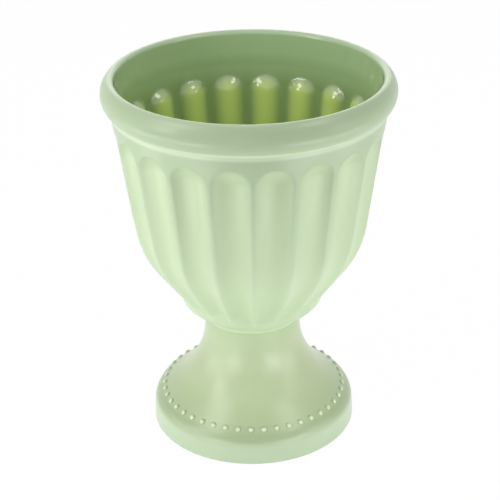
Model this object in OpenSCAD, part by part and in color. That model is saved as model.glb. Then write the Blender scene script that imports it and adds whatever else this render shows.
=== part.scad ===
// Tulip vase: a fluted bowl with a rolled rim that plugs into a flared pedestal.
// Both pieces stand on the same axis. Z = 0 is the plane the pedestal rests on.

/* [Bowl] */
// Height of the rim's top above the seam with the pedestal
bowl_h = 136.9; // [125:0.1:150]
// Radius of the round belly over the arrises
belly_r = 63; // [58:0.1:64]
// Height of the belly's centre above the seam
belly_rise = 68.4; // [64:0.1:72]
// Lean of the straight wall above the belly, in degrees
wall_lean = 7.7; // [5:0.1:10]
// Lean of the straight wall below the belly, in degrees
base_lean = 36.6; // [30:0.2:42]
// Thickness of the bowl's wall between the flutes
bowl_wall = 2.4; // [2:0.1:3]

/* [Rim] */
// Reach of the roll past the line of the wall
rim_reach = 3.27; // [2.5:0.01:4]
// Width of the rim, from the mouth to the outside of the roll
rim_w = 7.2; // [6.5:0.1:9]
// Radius of the roll's section
roll_r = 9.7; // [8:0.1:12]
// Depth of the roll's centre below the rim's top
roll_drop = 8; // [6:0.1:9]
// Radius of the fillet between the roll and the wall under it
roll_fillet = 1.2; // [0.8:0.1:1.6]

/* [Flutes] */
// Number of flutes
flute_n = 20; // [16:1:24]
// Depth of a flute at its top
flute_depth = 4.2; // [3:0.1:5]
// Depth of the flutes' round tops below the rim's top
flute_drop = 24; // [20:0.5:32]
// Thickness of the wall behind a flute
flute_wall = 1.9; // [1.6:0.1:2.2]
// Turn of the first arris from the front, in degrees
flute_turn = 1; // [0:0.5:9]

/* [Dish ring] */
// Step from the line of the wall in to the ring that the flutes run down to
dish_step = 0.5; // [0.1:0.01:0.8]
// Radius of the ring's rounded edge
dish_round = 7.6; // [6:0.1:9]
// Height of the rounding's centre above the seam
dish_rise = 14.8; // [13:0.1:17]
// Lean of its underside, in degrees
dish_lean = 54; // [48:1:58]

/* [Joint] */
// Step from the neck out to the bowl's collar on the seam
collar_step = 0.4; // [0:0.1:0.8]
// Radius of the two rounded edges that make the seam's shadow line
seam_round = 0.6; // [0.4:0.1:0.8]
// Depth of the socket in the neck
socket_depth = 12; // [9:0.5:15]
// Gap around the spigot in its socket
socket_gap = 0.15; // [0.1:0.05:0.3]
// Wall of the spigot
spigot_wall = 2; // [1.6:0.1:2.4]
// Reach of the snap bead past the spigot
snap_reach = 0.9; // [0.6:0.1:1.1]
// Height of the snap bead
snap_h = 2.6; // [2:0.1:3.5]
// Number of slits that let the spigot spring
slit_n = 4; // [3:1:6]
// Width of a slit
slit_w = 3; // [2:0.5:4]

/* [Pedestal] */
// Height of the pedestal, from its rest to the seam
pedestal_h = 62.3; // [56:0.1:70]
// Radius of the neck's top
neck_r = 25.3; // [24.6:0.1:27]
// Lean of the neck, in degrees
neck_lean = 4.8; // [3:0.1:6]
// Radius of the flare between the neck and the skirt
flare_r = 45.5; // [34:0.5:50]
// Lean of the skirt, in degrees
skirt_lean = 51.3; // [48:0.1:54]
// Radius of the foot's side
foot_r = 55; // [52:0.1:57]
// Height of the foot's straight side
foot_side = 8.8; // [7:0.1:10]
// Radius of the foot's rounded shoulder
foot_round = 9.3; // [7:0.1:10]
// Widening of the foot's side down to the plane it rests on
foot_draft = 0.5; // [0:0.1:0.8]
// Thickness of the pedestal's wall
pedestal_wall = 2.4; // [2:0.1:3]

/* [Beads] */
// Number of beads round the foot
bead_n = 45; // [40:1:52]
// Radius of a bead where it stands on the skirt
bead_r = 1.6; // [1.3:0.1:2]
// Height of a bead's dome over the skirt
bead_h = 0.9; // [0.7:0.1:1.2]
// Distance of the beads in from the foot's side
bead_inset = 5.7; // [4:0.1:8]
// Turn of the first bead from the front, in degrees
bead_turn = 6; // [0:0.1:8]

/* [Hidden] */
$fn = 120;

// Share of the flutes' pitch that stays as the arris between two of them
arris_share = 0.11;
// Share of the pitch that one flute's sweep has room for
room_share = 0.98;
// Hair by which a rounding runs past the straights that it touches
lap = 0.01;
// Length that a cut runs past the face it opens
overrun = 2;
// Quarter turn, in degrees
quarter = 90;

// Bowl: heights and the centres of the roundings
seam_z = pedestal_h;
belly_z = seam_z + belly_rise;
rim_top = seam_z + bowl_h;
floor_z = seam_z + 2 * bowl_wall;
flute_top_z = rim_top - flute_drop;
pitch = 360 / flute_n;

// Direction that a wall of a given lean faces, outwards and down
function facing(lean) = [cos(lean), -sin(lean)];
// Radius at height z of the straight wall that leaves the belly at a lean
function wall_at(z, lean, r = belly_r) = (r + (z - belly_z) * sin(lean)) / cos(lean);
rim_r = wall_at(rim_top - roll_drop, wall_lean) + rim_reach;
roll_c = [rim_r - roll_r, rim_top - roll_drop];
mouth_r = rim_r - rim_w;
dish_r = wall_at(seam_z + dish_rise, base_lean) - dish_step;
dish_c = [dish_r - dish_round, seam_z + dish_rise];
// Radius at height z of the dish ring's underside, drawn in by inset
function dish_at(z, inset = 0) = let(p = dish_c + (dish_round - inset) * facing(dish_lean))
    p.x + (z - p.y) * tan(dish_lean);
// Height just above the place at which the wall would come out of the ring's underside
wall_start = (wall_at(0, base_lean) - dish_at(0)) / (tan(dish_lean) - tan(base_lean))
    + bowl_wall / 5;

// Lip: the rounding that touches the mouth, the rim's top and, inside it, the roll
lip_a = mouth_r - roll_c.x;
lip_p = lip_a - roll_drop + roll_r;
lip_round = sqrt(lip_p * lip_p - lip_a * lip_a - roll_drop * roll_drop + roll_r * roll_r) - lip_p;
lip_c = [mouth_r + lip_round, rim_top - lip_round];
lip_touch = roll_c + roll_r * (lip_c - roll_c) / norm(lip_c - roll_c);

// Fillet that touches the roll and the wall under it
fillet_reach = belly_r + roll_fillet - (roll_c - [0, belly_z]) * facing(wall_lean);
fillet_c = roll_c + fillet_reach * facing(wall_lean)
    - sqrt(pow(roll_r + roll_fillet, 2) - pow(fillet_reach, 2)) * [sin(wall_lean), cos(wall_lean)];
fillet_touch = fillet_c - roll_fillet * facing(wall_lean);
function under_roll(depth) = roll_c + (roll_r - depth) * (fillet_c - roll_c) / norm(fillet_c - roll_c);

// Flutes: one ball cutter follows a line, an arc and a line round the belly
ball_top_r = wall_at(flute_top_z, wall_lean);
function half_flute(r) = PI * r / flute_n * (1 - arris_share);
ball_r = (pow(half_flute(ball_top_r), 2) + pow(flute_depth, 2)) / (2 * flute_depth);
// Distance of the ball's centre from the wall, where the wall's radius is r
function stand_off(r) = sqrt(pow(ball_r, 2) - pow(half_flute(r), 2));
path_drop = (stand_off(belly_r * cos(base_lean)) - stand_off(belly_r * cos(wall_lean)))
    / (sin(base_lean) - sin(wall_lean));
path_r = belly_r + stand_off(belly_r * cos(wall_lean)) - path_drop * sin(wall_lean);
path_z = belly_z - path_drop;
// Ball's centre for height z on the wall, as a point seen from the path's centre
function ball_at(z, lean) = let(r = wall_at(z, lean))
    [r, z - path_z] + stand_off(r) * facing(lean);
path_top = ball_at(flute_top_z - half_flute(ball_top_r), wall_lean);
path_end = ball_at(wall_start, base_lean);
// Angles below the centre's level between which the path follows its arc
arc_top = acos(path_r / norm(path_top)) - atan2(path_top.y, path_top.x);
arc_end = -acos(path_r / norm(path_end)) - atan2(path_end.y, path_end.x);
function tangent_length(p) = sqrt(p * p - path_r * path_r);

// Pedestal: the lines of its neck and skirt, and the roundings that join them. The
// flare's rounding is limited by the lengths of the neck and the skirt.
rest_r = foot_r + foot_draft;
bead_ring_r = foot_r - bead_inset;
foot_c = [foot_r - foot_round, foot_side];
function level(lean) = [cos(lean), sin(lean)];
function fall(lean) = [sin(lean), -cos(lean)];
function cross2(a, b) = a.x * b.y - a.y * b.x;
neck_p = [neck_r, seam_z];
skirt_p = foot_c + foot_round * level(skirt_lean);
bend = neck_p + fall(neck_lean) * cross2(skirt_p - neck_p, fall(skirt_lean))
    / cross2(fall(neck_lean), fall(skirt_lean));
flare_room = min(norm(bend - neck_p), norm(skirt_p - bend)) - bead_r;
flare_fit_r = min(flare_r, flare_room / tan((skirt_lean - neck_lean) / 2));
flare_c = bend - fall(neck_lean) * flare_fit_r * tan((skirt_lean - neck_lean) / 2)
    + flare_fit_r * level(neck_lean);
bead_z = skirt_p.y + (skirt_p.x - bead_ring_r) / tan(skirt_lean);
// Ball whose top shows as a bead, and the depth of its centre under the skirt
bead_ball_r = (bead_r * bead_r + bead_h * bead_h) / (2 * bead_h);
bead_c = [bead_ring_r, bead_z] - (bead_ball_r - bead_h) * level(skirt_lean);

// Joint: the spigot, its socket and the ledge that the snap bead grips
collar_r = neck_r + collar_step;
socket_r = neck_r - pedestal_wall;
ledge_z = seam_z - socket_depth;
spigot_r = socket_r - socket_gap;
spigot_end = ledge_z - socket_gap - snap_h;
slit_h = snap_h + socket_depth * 2 / 3;
collar_top = seam_z + bowl_wall;
floor_mid = (collar_top + floor_z) / 2;
neck_top = seam_z - seam_round;
function neck_at(z) = neck_r + (seam_z - z) * tan(neck_lean);

module rounding(c, r) translate(c) circle(r + lap);

// Section of the wall from the height start up to the lip, drawn in by inset
module wall_outline(inset, start) {
    r = belly_r - inset;
    low = r * facing(base_lean) + [0, belly_z];
    top = r * facing(wall_lean) + [0, belly_z];
    polygon([[0, start], [wall_at(start, base_lean, r), start], low, top,
        [wall_at(lip_c.y, wall_lean, r), lip_c.y], [0, lip_c.y]]);
    intersection() {
        rounding([0, belly_z], r);
        translate([0, start]) square([2 * r, lip_c.y - start]);
    }
}

// Section of the dish ring down to the height z, drawn in by inset
module dish_outline(inset, z) {
    r = dish_round - inset;
    edge = dish_c + r * facing(dish_lean);
    polygon([[0, z], [dish_at(z, inset), z], edge, [dish_c.x + r, dish_c.y], [0, dish_c.y]]);
    rounding(dish_c, r);
}

// Section of the rolled rim round the wall's top
module rim_outline() {
    intersection() {
        translate(roll_c) circle(roll_r);
        polygon([[lip_c.x, roll_c.y - roll_r], lip_c, lip_touch, [2 * rim_r, lip_touch.y],
            [2 * rim_r, roll_c.y - roll_r]]);
    }
    rounding(lip_c, lip_round);
    difference() {
        polygon([fillet_c, fillet_touch, fillet_touch - bowl_wall / 2 * facing(wall_lean),
            under_roll(bowl_wall / 2)]);
        rounding(fillet_c, roll_fillet);
    }
}

// Section of the space that the bowl holds, as if it had no ribs
module cavity_outline() {
    intersection() {
        union() {
            wall_outline(bowl_wall, dish_c.y);
            translate([0, lip_c.y]) square([mouth_r, lip_round + overrun]);
        }
        square([mouth_r, rim_top + overrun]);
    }
    intersection() {
        wall_outline(bowl_wall, floor_z);
        dish_outline(bowl_wall, floor_z);
        square([belly_r, dish_c.y]);
    }
}

// The solid that one ball of radius r sweeps along a flute. A ball a hair larger
// joins the path's lines to its arc.
module flute_sweep(r) {
    rise = tangent_length(path_top);
    drop = tangent_length(path_end);
    translate([0, 0, path_z]) union() {
        union() {
            rotate([0, arc_top, 0]) translate([path_r, 0, 0]) rotate_extrude() {
                square([r, rise]);
                translate([0, rise]) intersection() {
                    circle(r);
                    square(2 * r);
                }
            }
            rotate([0, arc_top, 0]) translate([path_r, 0, 0]) sphere(r + 4 * lap);
        }
        rotate([quarter, 0, 0]) rotate_extrude(angle = arc_end - arc_top, start = -arc_end)
            translate([path_r, 0]) circle(r);
        union() {
            rotate([0, arc_end, 0]) translate([path_r, 0, 0]) sphere(r + 4 * lap);
            rotate([0, arc_end, 0]) translate([path_r, 0, -drop]) cylinder(r = r, h = drop);
        }
    }
}

// One flute's sweep, kept clear of its neighbours by two radial planes
module flute_cutter(r) intersection() {
    flute_sweep(r);
    linear_extrude(rim_top) polygon([[0, 0], [2 * rim_r, -2 * rim_r * tan(pitch * room_share / 2)],
        [2 * rim_r, 2 * rim_r * tan(pitch * room_share / 2)]]);
}

module flute_cutters(r)
    for (i = [0:flute_n - 1])
        rotate([0, 0, flute_turn - quarter + (i + 1 / 2) * pitch]) flute_cutter(r);

// Section of the bowl below its wall: the dish ring, the floor, the collar and the spigot
module base_outline() difference() {
    union() {
        dish_outline(0, collar_top);
        polygon([[0, seam_z], [collar_r - seam_round, seam_z], [collar_r, seam_z + seam_round],
            [collar_r, floor_mid], [0, floor_mid]]);
        intersection() {
            rounding([collar_r - seam_round, seam_z + seam_round], seam_round);
            translate([0, seam_z]) square([collar_r + lap, bowl_wall]);
        }
        polygon([[0, floor_mid], [spigot_r, floor_mid], [spigot_r, ledge_z - socket_gap],
            [spigot_r + snap_reach, ledge_z - socket_gap],
            [spigot_r + snap_reach, spigot_end + snap_h * 2 / 3],
            [spigot_r - spigot_wall / 4, spigot_end], [0, spigot_end]]);
    }
    cavity_outline();
    translate([0, spigot_end - overrun])
        square([spigot_r - spigot_wall, collar_top - spigot_end + overrun]);
}

module bowl() color([0.76, 0.85, 0.69]) union() {
    difference() {
        rotate_extrude() wall_outline(0, wall_start);
        flute_cutters(ball_r);
        difference() {
            rotate_extrude() cavity_outline();
            flute_cutters(ball_r + flute_wall);
        }
    }
    rotate_extrude() rim_outline();
    difference() {
        rotate_extrude() base_outline();
        for (i = [0:slit_n - 1])
            rotate([0, 0, i * 360 / slit_n]) translate([0, -slit_w / 2, spigot_end - overrun])
                cube([spigot_r + 2 * snap_reach, slit_w, slit_h + overrun]);
    }
}

// Section of the pedestal from z = low to top, drawn in by inset
module pedestal_outline(inset, low, top) {
    side = level(skirt_lean);
    shoulder = foot_round - inset;
    difference() {
        polygon([[0, low], [rest_r - inset, low], [foot_r - inset, foot_side],
            foot_c + shoulder * side, flare_c - (flare_fit_r + inset) * side,
            flare_c - (flare_fit_r + inset) * level(neck_lean),
            [neck_r - inset / cos(neck_lean) + (seam_z - top) * tan(neck_lean), top], [0, top]]);
        rounding(flare_c, flare_fit_r + inset);
    }
    rounding(foot_c, shoulder);
}

module pedestal() color([0.74, 0.83, 0.66]) {
    rotate_extrude() difference() {
        union() {
            pedestal_outline(0, 0, neck_top);
            polygon([[0, neck_top], [neck_at(neck_top), neck_top],
                [neck_r - seam_round, seam_z], [0, seam_z]]);
            intersection() {
                rounding([neck_r - seam_round, seam_z - seam_round], seam_round);
                translate([0, ledge_z]) square([neck_r + lap, socket_depth]);
            }
        }
        pedestal_outline(pedestal_wall, -overrun, ledge_z);
        translate([0, ledge_z - overrun]) square([socket_r, socket_depth + 2 * overrun]);
    }
    for (i = [0:bead_n - 1])
        rotate([0, 0, bead_turn - quarter + i * 360 / bead_n])
            translate([bead_c.x, 0, bead_c.y]) sphere(bead_ball_r);
}

bowl();
pedestal();
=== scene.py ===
"""Tulip vase: a fluted bowl with a rolled rim on a flared, beaded pedestal.

The CAD frame gives the place of each piece. The meshes below are the fine versions of
its two solids, with rounded arrises and edges. Lengths are in millimetres until a mesh
is made, and angles are in degrees.
"""

import math

import bpy
import numpy as np
from mathutils import Matrix, Vector


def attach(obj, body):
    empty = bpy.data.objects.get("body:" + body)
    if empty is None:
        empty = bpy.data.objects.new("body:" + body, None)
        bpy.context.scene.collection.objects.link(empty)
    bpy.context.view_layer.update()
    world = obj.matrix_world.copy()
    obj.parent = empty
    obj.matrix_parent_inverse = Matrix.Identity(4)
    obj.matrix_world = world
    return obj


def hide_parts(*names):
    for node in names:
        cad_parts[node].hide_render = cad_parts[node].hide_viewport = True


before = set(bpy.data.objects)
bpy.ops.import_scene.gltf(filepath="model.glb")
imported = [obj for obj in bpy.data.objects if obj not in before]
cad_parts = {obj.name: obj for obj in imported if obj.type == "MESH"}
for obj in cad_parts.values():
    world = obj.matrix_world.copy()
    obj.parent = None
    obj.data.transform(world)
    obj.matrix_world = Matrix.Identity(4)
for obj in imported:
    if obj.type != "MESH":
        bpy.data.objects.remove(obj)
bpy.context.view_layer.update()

MM = 0.001

# Sizes that both pieces share
SEAM_Z = 62.3
SEAM_ROUND = 0.6
SOCKET_DEPTH = 12.0
SOCKET_GAP = 0.15
SOCKET_CHAMFER = 0.3
WALL = 2.4


def unit(angle):
    """Unit vector at an angle above the level, as (radius, height)."""
    return np.array([math.cos(math.radians(angle)), math.sin(math.radians(angle))])


def fall(lean):
    """Direction down a wall that widens towards the foot at a lean."""
    return -unit(90 + lean)


def arc(centre, radius, start, end, count):
    """Points on an arc of a section, from one angle to another."""
    return [np.array(centre) + radius * unit(a) for a in np.linspace(start, end, count)]


def line(start, end, count):
    """Points on a straight of a section, without its two ends."""
    share = np.linspace(0, 1, count + 2)[1:-1, None]
    return list(np.array(start) + share * (np.array(end) - np.array(start)))


def meet(point, direction, other, other_direction):
    """Where two lines of a section cross."""
    step = np.array(other) - np.array(point)
    turn = direction[0] * other_direction[1] - direction[1] * other_direction[0]
    along = (step[0] * other_direction[1] - step[1] * other_direction[0]) / turn
    return np.array(point) + along * np.array(direction)


def soft_positive(value, radius):
    """value where it is positive and 0 elsewhere, with a round bend between the two."""
    return (value + np.sqrt(value**2 + radius**2)) / 2


def fade(values, start, end):
    """0 above start, 1 below end, and even between the two."""
    return np.clip((start - values) / (start - end), 0, 1)


# The bowl's sizes: profile and rim, flutes and ribs, dish ring and collar, spigot
BELLY_R, BELLY_Z = 63.0, SEAM_Z + 68.4
WALL_LEAN, BASE_LEAN = 7.7, 36.6
RIM_TOP = SEAM_Z + 136.9
RIM_REACH, RIM_W = 3.27, 7.2
ROLL_R, ROLL_DROP = 9.7, 8.0
ROLL_FILLET = 1.2
LIP_POINTS, LIP_FADE = 16, 7

FLUTES = 20
PITCH = 360 / FLUTES
FLUTE_TURN = 1.0
FLUTE_APEX = RIM_TOP - 24.0
OPEN_SHARE = 0.89
DEPTH_SHARE_LOW, DEPTH_SHARE_HIGH = 0.165, 0.217
ARRIS_ROUND = 0.32
RIB_SHARE, RIB_HEIGHT_SHARE = 0.86, 0.88
RIB_ROUND = 0.6
COLUMNS_PER_FLUTE = 22
NOSE_ROWS_FROM, DISH_ROWS_FROM, RIBS_END = 160, 91, 178

DISH_STEP, DISH_ROUND, DISH_RISE, DISH_LEAN = 0.5, 7.6, 14.8, 54.0
DISH_BLEND, DISH_INNER_BLEND = 0.45, 0.8
FLUTES_UNDER_DISH, RING_UNDER_DISH = 3.6, 4.2
COLLAR_R = 25.7

SOCKET_R = 22.9
SPIGOT_R = SOCKET_R - SOCKET_GAP
SPIGOT_WALL = 2.0
SNAP_H, SNAP_REACH = 2.6, 0.9
SLITS, SLIT_W = 4, 3.0
FLOOR_Z = SEAM_Z + 2 * WALL

# Where the bowl's painted shade and light fade in: two heights for the painted shade deep inside,
# two for the painted light low on the outside, and two distances from the fillet's centre for the
# painted highlight under the roll
DEEP_SHADE_FADE = 187.0, 170.0
LOW_LIGHT_FADE = 165.0, 95.0
FILLET_HIGHLIGHT_FADE = ROLL_FILLET + 1.5, ROLL_FILLET + 0.6


def lean_at(z):
    """Lean of the bowl's wall at a height: a cone, a ball and a cone."""
    drop = np.clip((BELLY_Z - z) / BELLY_R, -1, 1)
    return np.clip(np.degrees(np.arcsin(drop)), WALL_LEAN, BASE_LEAN)


def wall_at(z, inset=0.0):
    """Radius of the bowl's wall at a height, drawn in by inset."""
    r = BELLY_R - inset
    drop = np.clip((BELLY_Z - z) / r, -1, 1)
    lean = np.radians(np.clip(np.degrees(np.arcsin(drop)), WALL_LEAN, BASE_LEAN))
    return (r - (BELLY_Z - z) * np.sin(lean)) / np.cos(lean)


ROLL_Z = RIM_TOP - ROLL_DROP
RIM_R = float(wall_at(ROLL_Z)) + RIM_REACH
ROLL_C = np.array([RIM_R - ROLL_R, ROLL_Z])
MOUTH_R = RIM_R - RIM_W
DISH_Z = SEAM_Z + DISH_RISE
DISH_C = np.array([float(wall_at(DISH_Z)) - DISH_STEP - DISH_ROUND, DISH_Z])


def half_flute(z):
    """Half of a flute's opening at a height, along the wall."""
    return np.pi * wall_at(z) / FLUTES * OPEN_SHARE


NOSE_Z = FLUTE_APEX - half_flute(FLUTE_APEX) * math.cos(math.radians(WALL_LEAN))


def flute_depth(z):
    """Depth of a flute: a share of its width that falls a little towards the foot."""
    share = np.interp(z, [DISH_Z, NOSE_Z], [DEPTH_SHARE_LOW, DEPTH_SHARE_HIGH])
    return 2 * half_flute(z) * share


def scoop(z, across, width_share, depth_share):
    """How deep a round-nosed scoop of a flute's kind is at a place on the wall."""
    half = half_flute(np.minimum(z, NOSE_Z)) * width_share
    depth = flute_depth(np.minimum(z, NOSE_Z)) * depth_share
    ball = (half**2 + depth**2) / (2 * depth)
    up = np.maximum(z - NOSE_Z, 0) / math.cos(math.radians(WALL_LEAN))
    inside = ball**2 - across**2 - up**2
    return np.where(inside > 0, np.sqrt(np.maximum(inside, 0)) - ball + depth, -ball)


def columns():
    """Azimuths of the bowl's columns in turns of one flute, closest at the arrises."""
    even = np.linspace(-1, 1, COLUMNS_PER_FLUTE + 1)[:-1]
    return (0.5 * even + 0.5 * np.sin(even * np.pi / 2)) / 2


def fluted_rows(heights, inset, width_share, depth_share, bend):
    """Radii and depths of wall rows with one scoop, for the columns of one flute.

    Each column is pushed in along the wall's normal, then read again at the heights.
    """
    below, above, samples = 6, 1, 420
    z = np.linspace(min(heights) - below, max(heights) + above, samples)
    lean = np.radians(lean_at(z))
    r = wall_at(z, inset)
    rows, depths = [], []
    for turn in columns():
        depth = 0
        for shift in (-1, 0, 1):
            across = r * np.sin(np.radians((turn + shift) * PITCH))
            depth = depth + soft_positive(scoop(z, across, width_share, depth_share), bend)
        new_r, new_z = r - depth * np.cos(lean), z + depth * np.sin(lean)
        rows.append(np.interp(heights, new_z, new_r))
        depths.append(np.interp(heights, new_z, depth))
    return np.array(rows).T, np.array(depths).T


# Making the meshes
def add_mesh(name, points, faces, marks=None, sharp=None):
    """An object from points in millimetres, smooth, with named marks at its points."""
    mesh = bpy.data.meshes.new(name)
    mesh.from_pydata((np.asarray(points) * MM).tolist(), [], faces)
    mesh.validate()
    mesh.polygons.foreach_set("use_smooth", [True] * len(mesh.polygons))
    for mark, values in (marks or {}).items():
        layer = mesh.attributes.new(mark, "FLOAT", "POINT")
        layer.data.foreach_set("value", np.asarray(values, dtype=np.float32))
    if sharp is not None:
        mesh.set_sharp_from_angle(angle=math.radians(sharp))
    piece = bpy.data.objects.new(name, mesh)
    bpy.context.scene.collection.objects.link(piece)
    return piece


def turned_grid(radii, heights, azimuths):
    """Points of a closed grid of rows; radii is one value or one per column in a row."""
    angle = np.radians(azimuths)
    points = []
    for r, z in zip(radii, heights):
        r = np.broadcast_to(r, angle.shape)
        flat = np.full_like(angle, z)
        points.append(np.stack([r * np.cos(angle), r * np.sin(angle), flat], 1))
    return np.concatenate(points)


def ring_faces(rows, cols, closed=False):
    """Quads between the rows of a turned grid; closed joins the last row to the first.

    They face outwards where the section goes down on its outer side and up inside.
    """
    faces = []
    for i in range(rows if closed else rows - 1):
        a, b = i * cols, (i + 1) % rows * cols
        for j in range(cols):
            k = (j + 1) % cols
            faces.append((b + j, b + k, a + k, a + j))
    return faces


def turned(name, section, count, mark):
    """A closed section turned about the axis; mark gives its points their marks."""
    section = np.array(section)
    points = turned_grid(section[:, 0], section[:, 1], np.arange(count) * 360 / count)
    return add_mesh(name, points, ring_faces(len(section), count, closed=True), mark(points))


# Bowl
FINGER_ROOT_Z = SEAM_Z - SOCKET_DEPTH * 0.35


def rib_rows():
    """The bowl's inner wall, from the floor up: ribs, and the dish inside its ring."""
    z = np.concatenate([np.linspace(FLOOR_Z + 3, NOSE_ROWS_FROM, 74),
                        np.linspace(NOSE_ROWS_FROM + 1, RIBS_END, 30)])
    r, height = fluted_rows(z, WALL, RIB_SHARE, RIB_HEIGHT_SHARE, RIB_ROUND)
    inner_round = DISH_ROUND - WALL
    dish = DISH_C[0] + np.sqrt(np.maximum(inner_round**2 - (z - DISH_Z) ** 2, 0))
    edge = DISH_C + inner_round * unit(-DISH_LEAN)
    under = edge[0] + (z - edge[1]) * math.tan(math.radians(DISH_LEAN))
    dish = np.where(z < edge[1], under, np.where(z > DISH_Z, RIM_R, dish))[:, None]
    r = np.minimum(r, MOUTH_R)
    return r - soft_positive(r - dish, DISH_INNER_BLEND), z, height


def flute_rows():
    """The bowl's outer wall, from the roll's fillet down to the dish ring.

    Its rows are closest where the flutes end, at their noses and on the dish ring.
    """
    z = np.concatenate([np.linspace(FILLET_TOUCH[1] - 0.3, FLUTE_APEX + 3, 6),
                        np.linspace(FLUTE_APEX + 2.4, NOSE_ROWS_FROM, 44),
                        np.linspace(NOSE_ROWS_FROM - 1, DISH_ROWS_FROM, 62),
                        np.linspace(DISH_ROWS_FROM - 0.8, DISH_Z - FLUTES_UNDER_DISH, 28)])
    r, depth = fluted_rows(z, 0.0, 1.0, 1.0, ARRIS_ROUND)
    ring = DISH_C[0] + np.sqrt(np.maximum(DISH_ROUND**2 - (z - DISH_Z) ** 2, 0))
    return r + soft_positive(ring[:, None] - r, DISH_BLEND), z, depth


def lip_rounding():
    """Centre and radius of the rounding that touches mouth, top and, inside it, roll."""
    a = MOUTH_R - ROLL_C[0]
    p = a - ROLL_DROP + ROLL_R
    r = math.sqrt(p * p - a * a - ROLL_DROP**2 + ROLL_R**2) - p
    return np.array([MOUTH_R + r, RIM_TOP - r]), r


def roll_fillet():
    """Centre of the fillet between the roll and the wall under it."""
    out, up = unit(-WALL_LEAN), unit(90 - WALL_LEAN)
    reach = BELLY_R + ROLL_FILLET - (ROLL_C - np.array([0, BELLY_Z])) @ out
    return ROLL_C + reach * out - math.sqrt((ROLL_R + ROLL_FILLET) ** 2 - reach**2) * up


FILLET_C = roll_fillet()
FILLET_TOUCH = FILLET_C - ROLL_FILLET * unit(-WALL_LEAN)


def rim_section():
    """Section above the inner wall: mouth, lip, roll and the fillet under it."""
    lip_c, lip_r = lip_rounding()
    touch = math.degrees(math.atan2(*(lip_c - ROLL_C)[::-1]))
    foot = math.degrees(math.atan2(*(FILLET_C - ROLL_C)[::-1]))
    section = line((MOUTH_R, RIBS_END + 0.5), (MOUTH_R, lip_c[1]), 12)
    section += arc(lip_c, lip_r, 180, touch, LIP_POINTS)
    section += arc(ROLL_C, ROLL_R, touch, foot, 30)[1:]
    section += arc(FILLET_C, ROLL_FILLET, foot + 180, 180 - WALL_LEAN, 8)[1:]
    return section


def base_section():
    """Section below the outer wall: dish ring, collar, seam and the spigot's root."""
    under_edge = DISH_C + DISH_ROUND * unit(-DISH_LEAN)
    corner = meet(under_edge, unit(270 - DISH_LEAN), (COLLAR_R, SEAM_Z), (0.0, 1.0))
    start = -math.degrees(math.asin(RING_UNDER_DISH / DISH_ROUND))
    section = arc(DISH_C, DISH_ROUND, start, -DISH_LEAN, 9)
    bend = [corner + np.array(step) for step in ((0.5, 0.36), (0.14, 0.02), (0, -0.3))]
    section += line(under_edge, bend[0], 7) + bend
    section += [np.array([COLLAR_R, SEAM_Z + SEAM_ROUND + 0.2])]
    section += arc((COLLAR_R - SEAM_ROUND, SEAM_Z + SEAM_ROUND), SEAM_ROUND, 0, -90, 6)
    inner = SPIGOT_R - SPIGOT_WALL
    section += [np.array(spot) for spot in (
        (SPIGOT_R + SOCKET_CHAMFER, SEAM_Z), (SPIGOT_R, SEAM_Z - SOCKET_CHAMFER),
        (SPIGOT_R, FINGER_ROOT_Z),
        (inner, FINGER_ROOT_Z), (inner, SEAM_Z + WALL - 0.8), (inner - 0.8, SEAM_Z + WALL))]
    return section


def bowl_marks(points, inside, thin):
    """Marks of the bowl's tints, from its rows' shares of inside and of thin wall: painted glow on
    thin flutes and ribs, painted light low on the outside and on the fillet under the roll, and
    painted shade deep inside.
    """
    x, y, z = points.T
    cols = (len(points) - 2) // len(inside)
    spread = [np.concatenate([np.broadcast_to(v, cols) for v in rows]) for rows in (inside, thin)]
    inner, thin = np.append(spread[0], [1, 0]), np.append(spread[1], [0, 0])
    from_fillet = np.hypot(np.hypot(x, y) - FILLET_C[0], z - FILLET_C[1])
    # Painted glow: the outer flutes are lighter where their wall is thin, as if lit through from
    # inside.
    # Painted light from the table: the outer wall between the flutes grows lighter towards the
    # foot.
    return {"flute": (1 - inner) * thin, "low": (1 - inner) * (1 - thin) * fade(z, *LOW_LIGHT_FADE),
            # Painted highlight: a lighter line on the fillet under the roll.
            "fillet": fade(from_fillet, *FILLET_HIGHLIGHT_FADE), "inside": inner,
            # Painted glow: the thin walls of the inner ribs lime, as if lit through from outside.
            # Painted shade: the inside darker from a little below the rim downwards, left showing
            # in the grooves between the ribs.
            "deep_painted_shade": inner * fade(z, *DEEP_SHADE_FADE), "thin_wall_glow": inner * thin}


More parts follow.
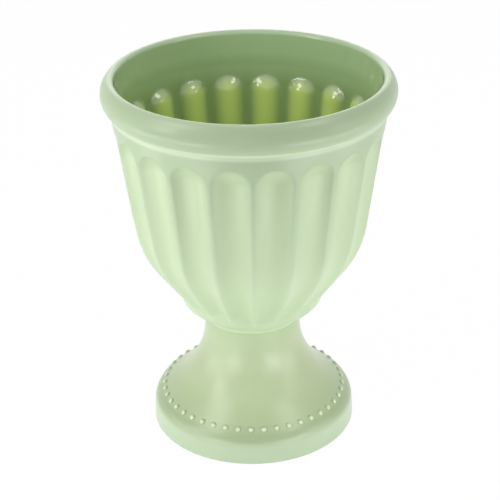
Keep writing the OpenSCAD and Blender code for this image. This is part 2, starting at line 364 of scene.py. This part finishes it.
def bowl_shell():
    """The bowl as one skin: floor, ribs, lip, roll, flutes, dish ring and collar."""
    radii, heights, inside, thin = [], [], [], []

    def add(r, z, gloss, thin_wall_glow=0.0):
        radii.append(r)
        heights.append(z)
        inside.append(gloss)
        thin.append(thin_wall_glow)

    rib_r, rib_z, rib_h = rib_rows()
    floor_r = float(rib_r[0].mean())
    for in_from_wall, rise in ((floor_r - 3, 0), (5, 0), (2.2, 0.5), (0.9, 1.4)):
        add(floor_r - in_from_wall, FLOOR_Z + rise, 1.0)
    full = float(flute_depth(NOSE_Z))
    for r, z, h in zip(rib_r, rib_z, rib_h):
        add(np.tile(r, FLUTES), z, 1.0, np.tile(h, FLUTES) / full / RIB_HEIGHT_SHARE)
    for i, (r, z) in enumerate(rim_section()):
        add(r, z, float(np.clip((LIP_POINTS + 1 - i) / LIP_FADE, 0, 1)))
    for r, z, h in zip(*flute_rows()):
        add(np.tile(r, FLUTES), z, 0.0, np.tile(h, FLUTES) / full)
    for r, z in base_section():
        add(r, z, 0.0)

    flutes = [(i + 0.5 + columns()) * PITCH for i in range(FLUTES)]
    azimuths = FLUTE_TURN - 90 + np.concatenate(flutes)
    cols = len(azimuths)
    points = turned_grid(radii, heights, azimuths)
    faces = ring_faces(len(radii), cols)
    floor_centre, under_centre = len(points), len(points) + 1
    last = (len(radii) - 1) * cols
    points = np.vstack([points, [0, 0, FLOOR_Z], [0, 0, SEAM_Z + WALL]])
    for j in range(cols):
        k = (j + 1) % cols
        faces.append((floor_centre, j, k))
        faces.append((under_centre, last + k, last + j))
    return add_mesh("bowl_shell", points, faces, bowl_marks(points, inside, thin))


def spigot_finger(index):
    """One springing finger of the spigot, between two slits, with its snap bead."""
    low = SEAM_Z - SOCKET_DEPTH - SOCKET_GAP - SNAP_H
    inner, snap, grip = SPIGOT_R - SPIGOT_WALL, SPIGOT_R + SNAP_REACH, low + SNAP_H
    section = [(inner, FINGER_ROOT_Z), (inner, low + 0.3), (inner + 0.3, low),
               (SPIGOT_R - 0.5, low), (snap, low + SNAP_H * 2 / 3), (snap, grip - 0.2),
               (snap - 0.2, grip), (SPIGOT_R, grip), (SPIGOT_R, FINGER_ROOT_Z)]
    gap = math.degrees(SLIT_W / 2 / SPIGOT_R)
    span = 360 / SLITS
    angles = np.radians(np.linspace(index * span + gap, (index + 1) * span - gap, 25))
    size = len(section)
    points = [(r * math.cos(a), r * math.sin(a), z) for a in angles for r, z in section]
    last = (len(angles) - 1) * size
    faces = [tuple(range(size)), tuple(range(last, last + size))[::-1]]
    for i in range(len(angles) - 1):
        for j in range(size):
            k = (j + 1) % size
            faces.append((i * size + j, (i + 1) * size + j, (i + 1) * size + k, i * size + k))
    return add_mesh(f"spigot_finger_{index + 1}", points, faces, sharp=35)


# Pedestal
NECK_R, NECK_LEAN = 25.3, 4.8
FLARE_R = 45.5
SKIRT_LEAN = 51.3
FOOT_R, FOOT_ROUND, FOOT_ROUND_Z = 55.0, 9.3, 8.8
FOOT_C = np.array([FOOT_R - FOOT_ROUND, FOOT_ROUND_Z])
REST_R = 55.5
EDGE_ROUND = 0.6
BEADS, BEAD_R, BEAD_H, BEAD_RING_R, BEAD_TURN = 45, 1.6, 1.15, 49.3, 6.0
BEAD_SINK, BEAD_ROOT = 0.25, 0.6
SKIRT_END = FOOT_C + FOOT_ROUND * unit(SKIRT_LEAN)


def flare_centre():
    """Centre of the flare's rounding, which touches the neck and the skirt."""
    bend = meet((NECK_R, SEAM_Z), fall(NECK_LEAN), SKIRT_END, fall(SKIRT_LEAN))
    back = FLARE_R * math.tan(math.radians((SKIRT_LEAN - NECK_LEAN) / 2))
    return bend - back * fall(NECK_LEAN) + FLARE_R * unit(NECK_LEAN)


def foot_side(inset, steps):
    """Section from the neck down to the foot's straight side, drawn in by inset."""
    side = arc(flare_centre(), FLARE_R + inset, 180 + NECK_LEAN, 180 + SKIRT_LEAN, steps)
    skirt = FOOT_C + (FOOT_ROUND - inset) * unit(SKIRT_LEAN)
    side += line(side[-1], skirt, steps // 5)
    return side + arc(FOOT_C, FOOT_ROUND - inset, SKIRT_LEAN, 0, steps // 2)


def foot_painted_light_marks(points):
    """Marks of the foot's painted light and shade: painted light on the neck, painted shade on the
    shoulder outside the beads, and painted light on the side.
    """
    z = points[:, 2]
    # Painted light: the neck grows lighter towards the collar.
    return {"neck": np.interp(z, [38, 54], [0, 1]),
            # Painted shade: a darker band on the shoulder outside the beads.
            "shoulder": np.interp(z, [9.5, 13, 16, 18, 28], [0, 1, 1, 0.45, 0]),
            # Painted light from the table: the foot's side lighter and bluer.
            "side": np.interp(z, [9.5, 13], [1, 0])}


def pedestal_shell():
    """The flared foot as one skin: neck, flare, skirt, shoulder, side and its hollow."""
    ledge_z = SEAM_Z - SOCKET_DEPTH
    outside = [np.array([SOCKET_R + SOCKET_CHAMFER, SEAM_Z])]
    outside += arc((NECK_R - SEAM_ROUND, SEAM_Z - SEAM_ROUND), SEAM_ROUND, 90, NECK_LEAN, 6)
    side = foot_side(0.0, 60)
    outside += line(outside[-1], side[0], 5) + side
    outside += line(side[-1], (REST_R, EDGE_ROUND), 6)
    outside += arc((REST_R - EDGE_ROUND, EDGE_ROUND), EDGE_ROUND, 0, -90, 6)
    hollow = foot_side(WALL, 40)[::-1]
    inner = arc((REST_R - WALL + EDGE_ROUND, EDGE_ROUND), EDGE_ROUND, -90, -180, 5)
    inner += line(inner[-1], hollow[0], 4) + hollow
    lean = math.radians(NECK_LEAN)
    neck_in = NECK_R - WALL / math.cos(lean) + SOCKET_DEPTH * math.tan(lean)
    inner += [np.array(spot) for spot in (
        (neck_in, ledge_z), (SOCKET_R, ledge_z), (SOCKET_R, SEAM_Z - SOCKET_CHAMFER))]
    return turned("pedestal_shell", outside + inner, 240, foot_painted_light_marks)


def bead_ring():
    """The small beads on the skirt: low domes in painted shade, with painted light on top and on
    their outer side.
    """
    ring_z = SKIRT_END[1] + (SKIRT_END[0] - BEAD_RING_R) / math.tan(math.radians(SKIRT_LEAN))
    seat = np.array([BEAD_RING_R, 0, ring_z])
    out = np.insert(unit(SKIRT_LEAN), 1, 0)
    along = np.insert(unit(SKIRT_LEAN + 90), 1, 0)
    ball = (BEAD_R**2 + BEAD_H**2) / (2 * BEAD_H)
    sink = ball - BEAD_H
    start = math.degrees(math.asin((sink - BEAD_SINK) / ball))
    dome = [(ball * c, ball * s - sink) for c, s in map(unit, np.linspace(start, 84, 10))]
    size = 24
    points, faces, bead_lit_share = [], [], []
    for index in range(BEADS):
        azimuth = BEAD_TURN - 90 + index * 360 / BEADS
        turn = np.array(Matrix.Rotation(math.radians(azimuth), 3, "Z"))
        first = len(points)
        for r, h in dome:
            for c, s in map(unit, np.arange(size) * 360 / size):
                spot = seat + out * h + along * r * c + np.array([0, r * s, 0])
                points.append(turn @ spot)
                # Painted light and shade on each bead: paler towards its top and its outer, lower
                # side.
                bead_lit_share.append(1.4 * h / BEAD_H - 0.35 - 0.6 * c * r / BEAD_R)
        points += [turn @ (seat + out * BEAD_H), turn @ (seat - out * BEAD_ROOT)]
        bead_lit_share += [1.0, 0.0]
        tip, root = len(points) - 2, len(points) - 1
        top = first + (len(dome) - 1) * size
        for j in range(size):
            k = (j + 1) % size
            for low in range(first, top, size):
                faces.append((low + k, low + j, low + size + j, low + size + k))
            faces.append((top + k, top + j, tip))
            faces.append((first + j, first + k, root))
    # The whole bead takes a painted-shade tint, and the lit share paints its pale side.
    marks = {"bead_edge_shade": np.ones(len(points)), "bead": np.clip(bead_lit_share, 0, 1)}
    return add_mesh("bead_ring", points, faces, marks)


# Materials
class Wire:
    """One output of a shader node; Python's arithmetic on it adds Math nodes.

    Sockets are given by name, or as n and their number.
    """

    def __init__(self, tree, socket):
        self.tree, self.socket = tree, socket

    @classmethod
    def node(cls, tree, kind, settings=None, output=0, **values):
        """Adds a node: its settings first, then the values or links of its sockets."""
        node = tree.nodes.new(kind)
        for key, value in (settings or {}).items():
            setattr(node, key, value)
        for name, value in values.items():
            by_number = name[0] == "n" and name[1:].isdigit()
            target = node.inputs[int(name[1:]) if by_number else name]
            if isinstance(value, Wire):
                tree.links.new(value.socket, target)
            else:
                target.default_value = value
        return cls(tree, node.outputs[output])

    def math(self, operation, first, second):
        """The value of a Math node."""
        return Wire.node(self.tree, "ShaderNodeMath", {"operation": operation},
                         n0=first, n1=second)

    def __add__(self, other):
        return self.math("ADD", self, other)

    __radd__ = __add__

    def __sub__(self, other):
        return self.math("SUBTRACT", self, other)

    def __rsub__(self, other):
        return self.math("SUBTRACT", other, self)

    def __mul__(self, other):
        return self.math("MULTIPLY", self, other)

    __rmul__ = __mul__


def mix(tree, share, first, second):
    """A colour between two, by share."""
    return Wire.node(tree, "ShaderNodeMix", {"data_type": "RGBA", "clamp_factor": True},
                     output=2, n0=share, n6=first, n7=second)


def blank(name):
    """A material with an empty tree."""
    material = bpy.data.materials.new(name)
    material.use_nodes = True
    material.node_tree.nodes.clear()
    return material, material.node_tree


def surface(tree, kind, shader):
    """Ends a tree in its output node."""
    output = tree.nodes.new(kind)
    tree.links.new(shader.socket, output.inputs["Surface"])


def srgb(red, green, blue):
    """Linear colour of a colour as it is seen on a screen, 0 to 255."""
    shares = [v / 255 for v in (red, green, blue)]
    linear = [v / 12.92 if v <= 0.04045 else ((v + 0.055) / 1.055) ** 2.4 for v in shares]
    return (*linear, 1.0)


# Roughness of the satin outside, what its clouds add, and what the gloss takes away
SATIN, CLOUDS, GLOSS = 0.29, 0.05, 0.18


def plastic(name, outside, shade, tints, glossy=None, coat=0.0, coat_roughness=0.06):
    """Moulded plastic: satin, with a tint laid over for each mark, and glossy where marked."""
    material, tree = blank(name)
    place = Wire.node(tree, "ShaderNodeTexCoord", output=3)
    cloud, grain = [Wire.node(tree, "ShaderNodeTexNoise", Vector=place, Scale=scale,
                              Detail=2.0, Roughness=fineness)
                    for scale, fineness in ((38.0, 0.5), (1900.0, 0.6))]
    marks = {mark: Wire.node(tree, "ShaderNodeAttribute", {"attribute_name": mark}, output=2)
             for mark in tints}
    colour = mix(tree, cloud, outside, shade)
    for mark, tint in tints.items():
        colour = mix(tree, marks[mark], colour, tint)
    roughness = SATIN + CLOUDS * cloud
    if glossy:
        roughness = roughness - marks[glossy] * GLOSS
    bump = Wire.node(tree, "ShaderNodeBump", Strength=0.06, Distance=0.0002, Height=grain)
    shader = Wire.node(tree, "ShaderNodeBsdfPrincipled", **{
        "Base Color": colour, "Roughness": roughness, "Normal": bump, "IOR": 1.49,
        "Coat Weight": marks[glossy] if glossy else coat, "Coat Roughness": coat_roughness})
    surface(tree, "ShaderNodeOutputMaterial", shader)
    return material


bowl_tints = {
    # Painted glow: the flute tint is lighter where the flute wall is thin.
    # Painted highlight: the fillet tint is a light line under the roll.
    # Painted light: the low tint lightens the outer wall towards the foot.
    "flute": srgb(222, 242, 199), "low": srgb(221, 241, 203), "fillet": srgb(230, 248, 214),
    # Painted glow: the lime tint on the thin inner ribs.
    # Painted shade: the darker tint deep inside the bowl.
    "inside": srgb(201, 227, 180), "deep_painted_shade": srgb(154, 179, 126), "thin_wall_glow": srgb(228, 246, 148)}
foot_painted_light_tints = {
    # Painted light on the neck and side, painted shade on the shoulder.
    "neck": srgb(205, 224, 179), "shoulder": srgb(172, 193, 150), "side": srgb(206, 227, 191),
    # Painted shade on the beads' edges and painted light on their pale side.
    "bead_edge_shade": srgb(170, 188, 142), "bead": srgb(232, 247, 210)}
bowl_plastic = plastic("bowl_plastic", srgb(203, 225, 185), srgb(198, 221, 180), bowl_tints,
                       glossy="inside")
foot_plastic = plastic("foot_plastic", srgb(199, 215, 171), srgb(194, 211, 165), foot_painted_light_tints,
                       coat=0.6, coat_roughness=0.36)

shell = bowl_shell()
fingers = [spigot_finger(i) for i in range(SLITS)]
foot = pedestal_shell()
beads = bead_ring()
for piece in [shell] + fingers:
    piece.data.materials.append(bowl_plastic)
    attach(piece, "root")
    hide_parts("bowl")
for piece in (foot, beads):
    piece.data.materials.append(foot_plastic)
    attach(piece, "root")
    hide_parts("pedestal")


# The stage: a white table and sky where they are seen, and a plain light on the vase
def straight_view(tree):
    """1 for what the camera sees, straight, in a reflection or through glass, else 0."""
    rays = ("Is Camera Ray", "Is Glossy Ray", "Is Transmission Ray")
    straight, gloss, through = [Wire.node(tree, "ShaderNodeLightPath", output=ray) for ray in rays]
    return straight + gloss + through


def stage_floor():
    """A white table that keeps a trace of the vase's shadow."""
    seen = 0.99
    material, tree = blank("white_table")
    cloth = Wire.node(tree, "ShaderNodeBsdfDiffuse", Color=(0.9, 0.9, 0.9, 1))
    white = Wire.node(tree, "ShaderNodeEmission", Color=(1, 1, 1, 1), Strength=1.0)
    both = Wire.node(tree, "ShaderNodeMixShader", n0=straight_view(tree) * seen, n1=cloth, n2=white)
    surface(tree, "ShaderNodeOutputMaterial", both)
    size = 4.0 / MM
    corners = [(x * size, y * size, 0) for x, y in ((-1, -1), (1, -1), (1, 1), (-1, 1))]
    floor = add_mesh("table", corners, [(0, 1, 2, 3)])
    floor.data.materials.append(material)


def sky():
    """An even soft light on the vase, and white wherever it is seen."""
    world = bpy.data.worlds.new("studio")
    world.use_nodes = True
    tree = world.node_tree
    tree.nodes.clear()
    ambient, white = [Wire.node(tree, "ShaderNodeBackground", Color=(1, 1, 1, 1), Strength=strength)
                      for strength in (0.20, 1.0)]
    both = Wire.node(tree, "ShaderNodeMixShader", n0=straight_view(tree), n1=ambient, n2=white)
    surface(tree, "ShaderNodeOutputWorld", both)
    bpy.context.scene.world = world


def around(name, azimuth, elevation, size, power, distance=0.65):
    """A soft lamp aimed at the vase's middle; azimuth 0 is in front, 90 on the right."""
    middle = Vector((0, 0, 0.11))
    data = bpy.data.lights.new(name, "AREA")
    data.shape, data.energy = "RECTANGLE", power
    data.size, data.size_y = size
    lamp = bpy.data.objects.new(name, data)
    level, height = distance * unit(elevation)
    right, front = level * unit(90 - azimuth)
    away = Vector((right, -front, height))
    lamp.location = away + middle
    lamp.rotation_euler = away.to_track_quat("Z", "Y").to_euler()
    bpy.context.scene.collection.objects.link(lamp)


def camera():
    """The photograph's camera: in front, above, and turned a little about its view."""
    place = (0.0, -0.66797, 0.43826)
    pitch, roll, yaw = math.radians(26.892), math.radians(0.928), math.radians(-0.064)
    right = Vector((math.cos(yaw), -math.sin(yaw), 0))
    ahead = Vector((math.sin(yaw), math.cos(yaw), 0))
    up = Vector((0, 0, math.cos(pitch))) + math.sin(pitch) * ahead
    forward = math.cos(pitch) * ahead - Vector((0, 0, math.sin(pitch)))
    x = math.cos(roll) * right - math.sin(roll) * up
    y = math.sin(roll) * right + math.cos(roll) * up
    data = bpy.data.cameras.new("camera")
    data.lens, data.sensor_width = 100.98, 36.0
    view = bpy.data.objects.new("camera", data)
    rows = [(x[i], y[i], -forward[i], place[i]) for i in range(3)]
    view.matrix_world = Matrix((*rows, (0, 0, 0, 1)))
    bpy.context.scene.collection.objects.link(view)
    bpy.context.scene.camera = view


stage_floor()
sky()
around("left_key", -64, 48, (0.26, 0.17), 0.62)
around("right_key", 62, 52, (0.22, 0.15), 0.46)
around("left_strip", -63, 22, (0.11, 0.34), 0.68)
around("right_strip", 67, 16, (0.08, 0.30), 0.26)
around("left_bank", -92, 62, (0.40, 0.24), 0.16)
around("right_bank", 92, 62, (0.40, 0.24), 0.12)
around("back_left", -163, 25, (0.40, 0.24), 0.40)
around("back_right", 163, 25, (0.40, 0.24), 0.40)
around("back_top", 180, 55, (0.40, 0.20), 0.20)
around("top_lamp", 0, 82, (0.20, 0.20), 0.30, distance=0.80)
around("front_left_card", -40, -14, (0.14, 0.06), 0.092, distance=0.26)
around("front_right_card", 40, -14, (0.14, 0.06), 0.118, distance=0.26)
around("left_card", -78, -12, (0.16, 0.07), 0.080, distance=0.28)
around("right_card", 74, -13, (0.16, 0.06), 0.066, distance=0.28)
camera()
bpy.context.scene.view_settings.view_transform = "Standard"
